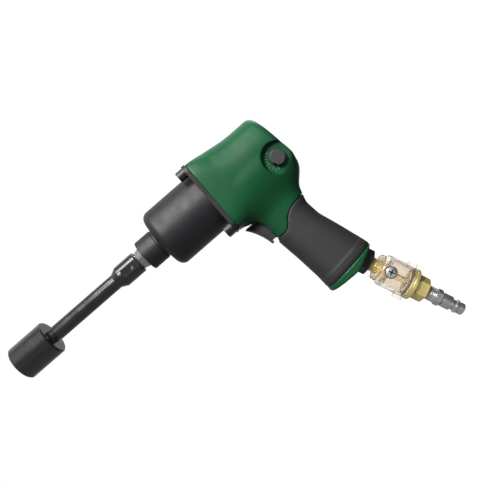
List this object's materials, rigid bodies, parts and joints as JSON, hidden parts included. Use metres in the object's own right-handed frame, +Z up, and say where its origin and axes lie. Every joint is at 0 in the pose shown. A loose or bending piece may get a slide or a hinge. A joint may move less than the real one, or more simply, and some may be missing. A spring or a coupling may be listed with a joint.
{
  "type": "air impact wrench",
  "caption": "Pistol-grip air impact wrench with square-drive extension bar, impact socket, clear in-line oiler and quick-connect air plug.",
  "frame": {"origin": "centre of the impact socket's mouth, on the spindle axis", "axes": "+X back along the spindle towards the motor, +Z up, the handle hangs towards -Z, the dial side faces -Y"},
  "size_m": [0.3482, 0.0638, 0.2707],
  "materials": {
    "housing_green": "satin",
    "case_black": "satin",
    "grip_rubber": "matte",
    "black_steel": "semi-gloss phosphate",
    "bright_steel": "ground",
    "plug_steel": "turned",
    "spring_steel": "drawn wire",
    "screw_black": "black oxide",
    "cast_grey": "machined",
    "bronze": "sintered",
    "brass": "turned",
    "chrome": "polished",
    "clear_plastic": "clear moulded",
    "black_plastic": "moulded",
    "vane_phenolic": "laminated",
    "gasket": "pressed paper",
    "seal_rubber": "matte"
  },
  "bodies": {
    "root": {"hammer_case": "case_black", "anvil_bushing": "bronze", "anvil_seal": "seal_rubber", "case_gasket": "gasket", "case_screws": "screw_black", "lock_washers": "screw_black", "front_end_plate": "cast_grey", "front_bearing": "bright_steel", "motor_cylinder": "cast_grey", "cylinder_dowel": "bright_steel", "rear_end_plate": "cast_grey", "rear_bearing": "bright_steel", "motor_housing": "housing_green", "grip_sleeve": "grip_rubber", "trigger_bushing": "bronze", "throttle_seat": "bronze", "valve_bushing": "bronze", "detent_ball": "bright_steel", "detent_spring": "spring_steel", "exhaust_silencer": "bronze", "exhaust_deflector": "black_plastic", "inlet_bushing": "screw_black", "inlet_screen": "brass", "oiler_outlet": "brass", "oiler_body": "clear_plastic", "oiler_tube": "brass", "oiler_end_cap": "brass", "oiler_seal": "seal_rubber", "filler_screw": "chrome", "filler_washer": "seal_rubber", "air_plug": "plug_steel"},
    "rotor_unit": {"rotor": "bright_steel", "rotor_vanes": "vane_phenolic", "hammer_cage": "bright_steel", "hammer_pins": "bright_steel"},
    "hammer_a": {"hammer_front": "bright_steel"},
    "hammer_b": {"hammer_rear": "bright_steel"},
    "anvil_unit": {"anvil": "bright_steel", "socket_retaining_ring": "spring_steel"},
    "extension_unit": {"extension_bar": "black_steel", "extension_friction_ring": "spring_steel"},
    "socket_unit": {"impact_socket": "black_steel"},
    "trigger_unit": {"trigger": "black_plastic", "trigger_stem": "bright_steel"},
    "throttle_unit": {"throttle_valve": "bright_steel", "throttle_spring": "spring_steel"},
    "valve_unit": {"reverse_valve": "bright_steel", "valve_knob": "black_plastic", "knob_pin": "spring_steel"}
  },
  "joints": [
    {"name": "rotor_spin", "type": "hinge", "parent": "root", "child": "rotor_unit", "pos_m": [0.264, 0, 0], "axis": [1, 0, 0], "continuous": true},
    {"name": "anvil_spin", "type": "hinge", "parent": "root", "child": "anvil_unit", "pos_m": [0.165, 0, 0], "axis": [1, 0, 0], "continuous": true},
    {"name": "hammer_front_rock", "type": "hinge", "parent": "rotor_unit", "child": "hammer_a", "pos_m": [0.18925, 0, 0.018], "axis": [1, 0, 0], "range_deg": [-4, 4]},
    {"name": "hammer_rear_rock", "type": "hinge", "parent": "rotor_unit", "child": "hammer_b", "pos_m": [0.20875, 0, -0.018], "axis": [1, 0, 0], "range_deg": [-4, 4]},
    {"name": "extension_pull", "type": "slide", "parent": "anvil_unit", "child": "extension_unit", "axis": [-1, 0, 0], "range_m": [0, 0.02]},
    {"name": "socket_pull", "type": "slide", "parent": "extension_unit", "child": "socket_unit", "axis": [-1, 0, 0], "range_m": [0, 0.022]},
    {"name": "trigger_press", "type": "slide", "parent": "root", "child": "trigger_unit", "axis": [1, 0, 0], "range_m": [0, 0.005], "stiffness_N_per_m": 900, "springref_m": -0.004},
    {"name": "throttle_tilt", "type": "hinge", "parent": "root", "child": "throttle_unit", "pos_m": [0.276, 0, -0.0746], "axis": [0, 1, 0], "range_deg": [0, 18]},
    {"name": "valve_turn", "type": "hinge", "parent": "root", "child": "valve_unit", "pos_m": [0.3024, -0.02, -0.0132], "axis": [0, 1, 0], "range_deg": [-50, 50]}
  ],
  "couplings": [
    {"joint": "anvil_spin", "follows": "rotor_spin", "ratio": 1},
    {"joint": "throttle_tilt", "follows": "trigger_press", "rad_per_m": 62}
  ]
}
